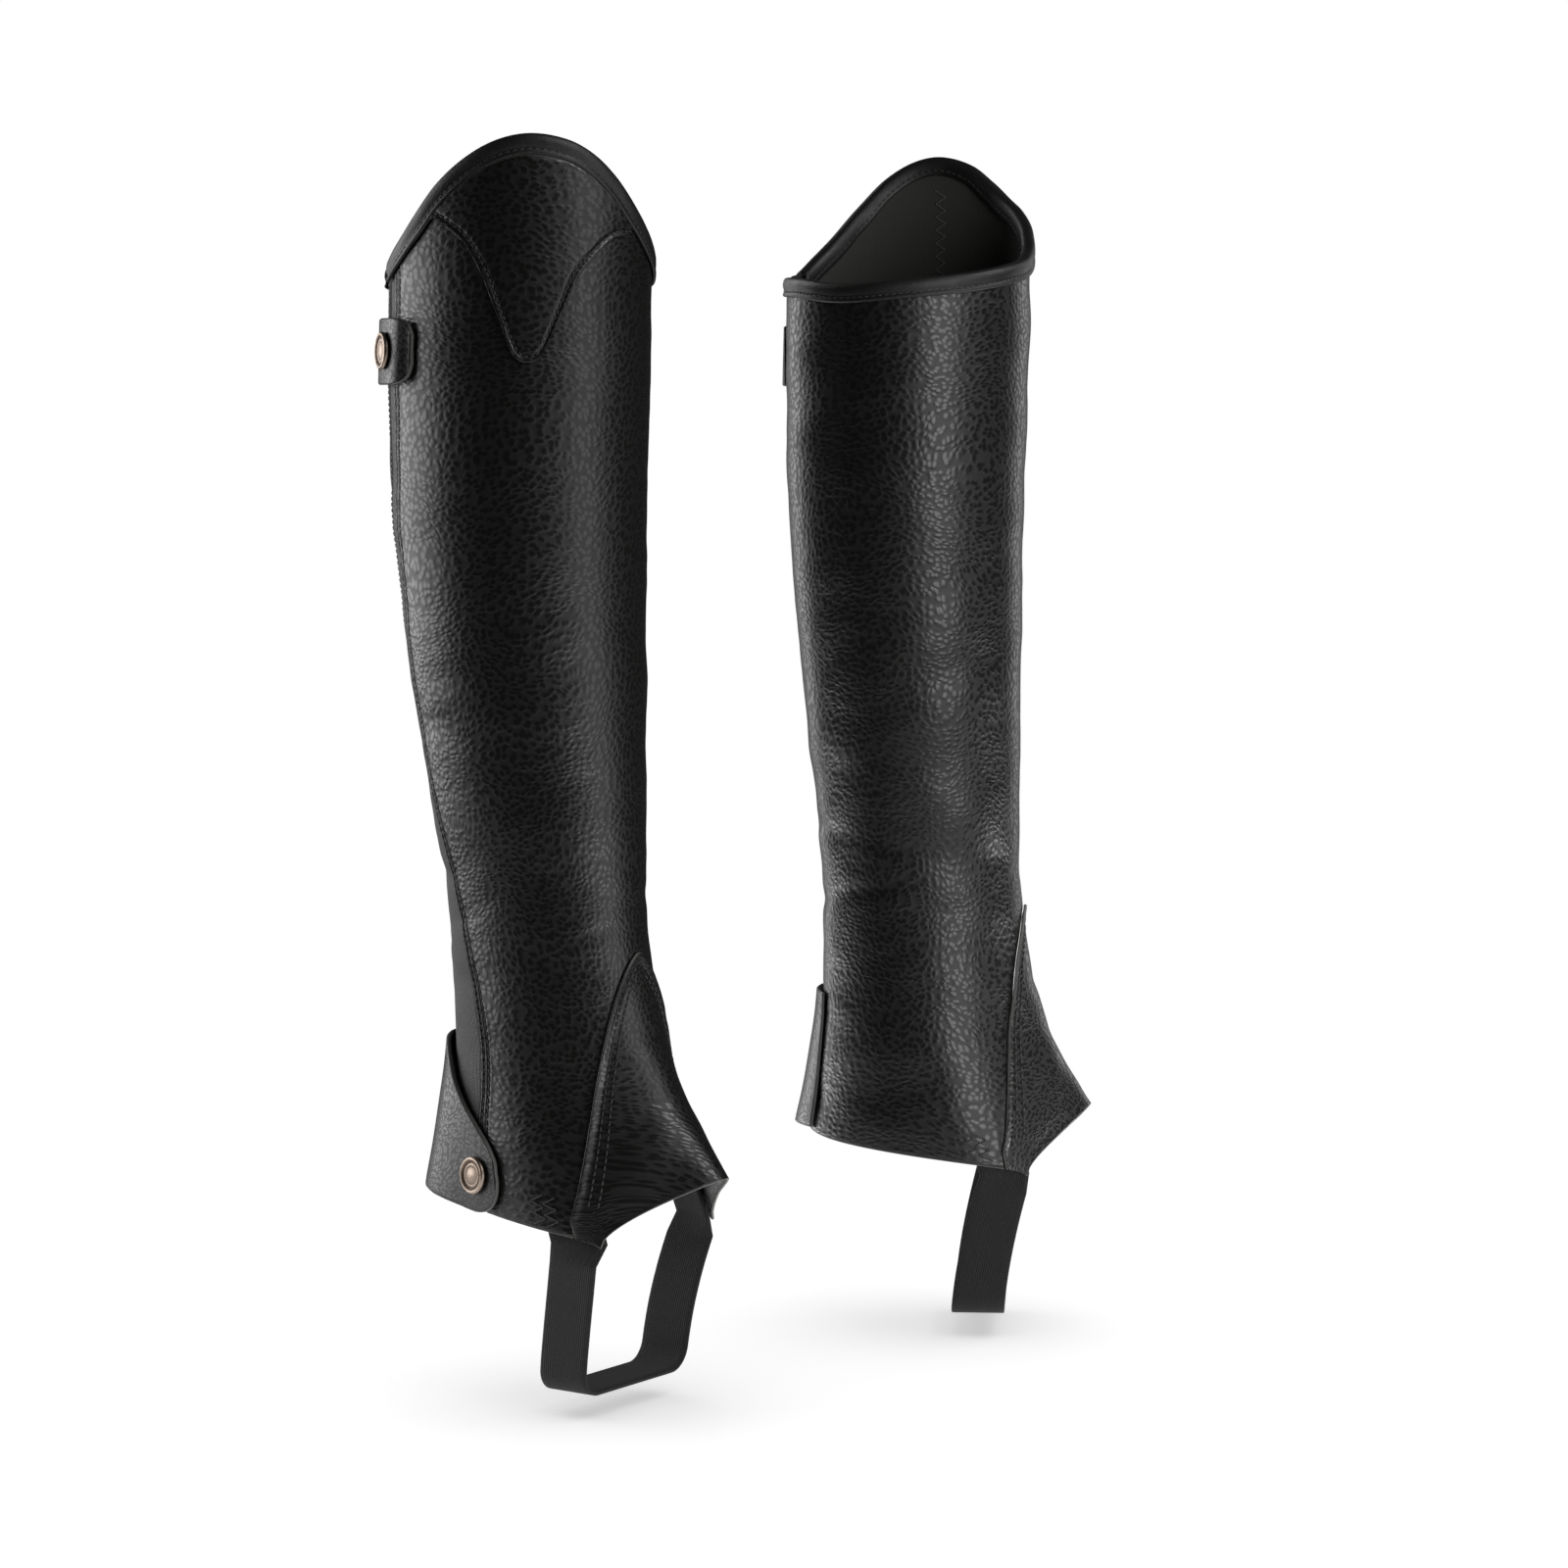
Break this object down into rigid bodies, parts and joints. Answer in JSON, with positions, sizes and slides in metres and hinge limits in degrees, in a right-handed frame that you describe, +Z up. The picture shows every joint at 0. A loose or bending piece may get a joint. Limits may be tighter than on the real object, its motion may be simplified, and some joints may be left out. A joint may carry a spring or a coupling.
{
  "type": "pair of half chaps",
  "caption": "Pair of leather half chaps, each a zipped calf shaft with a raised curved top, instep gusset, snap tabs and a stirrup elastic.",
  "frame": {"origin": "centre of the right leg's calf, 400 mm above the floor that the wearer stands on", "axes": "+Z up, +X the way the left toe points, -Y towards the viewer, who sees the right leg's chap first"},
  "size_m": [0.3256, 0.2821, 0.5505],
  "materials": {
    "grained_leather": "pebbled grain with a satin sheen",
    "smooth_leather": "smooth, satin",
    "elastic": "smooth woven elastic",
    "zip_tape": "woven tape with moulded teeth",
    "lining": "matt",
    "antique_brass": "antique, satin"
  },
  "bodies": {
    "root": {"right_shaft": "grained_leather", "right_elastic_panel": "elastic", "right_zip": "zip_tape", "right_zip_slider": "antique_brass", "right_lining": "lining", "right_yoke": "grained_leather", "right_binding": "smooth_leather", "right_gusset": "grained_leather", "right_top_tab": "grained_leather", "right_top_snap": "antique_brass", "right_ankle_strap": "grained_leather", "right_ankle_snap": "antique_brass", "right_stirrup": "elastic", "left_shaft": "grained_leather", "left_elastic_panel": "elastic", "left_zip": "zip_tape", "left_zip_slider": "antique_brass", "left_lining": "lining", "left_yoke": "grained_leather", "left_binding": "smooth_leather", "left_gusset": "grained_leather", "left_top_tab": "grained_leather", "left_top_snap": "antique_brass", "left_ankle_strap": "grained_leather", "left_ankle_snap": "antique_brass", "left_stirrup": "elastic"}
  },
  "joints": []
}
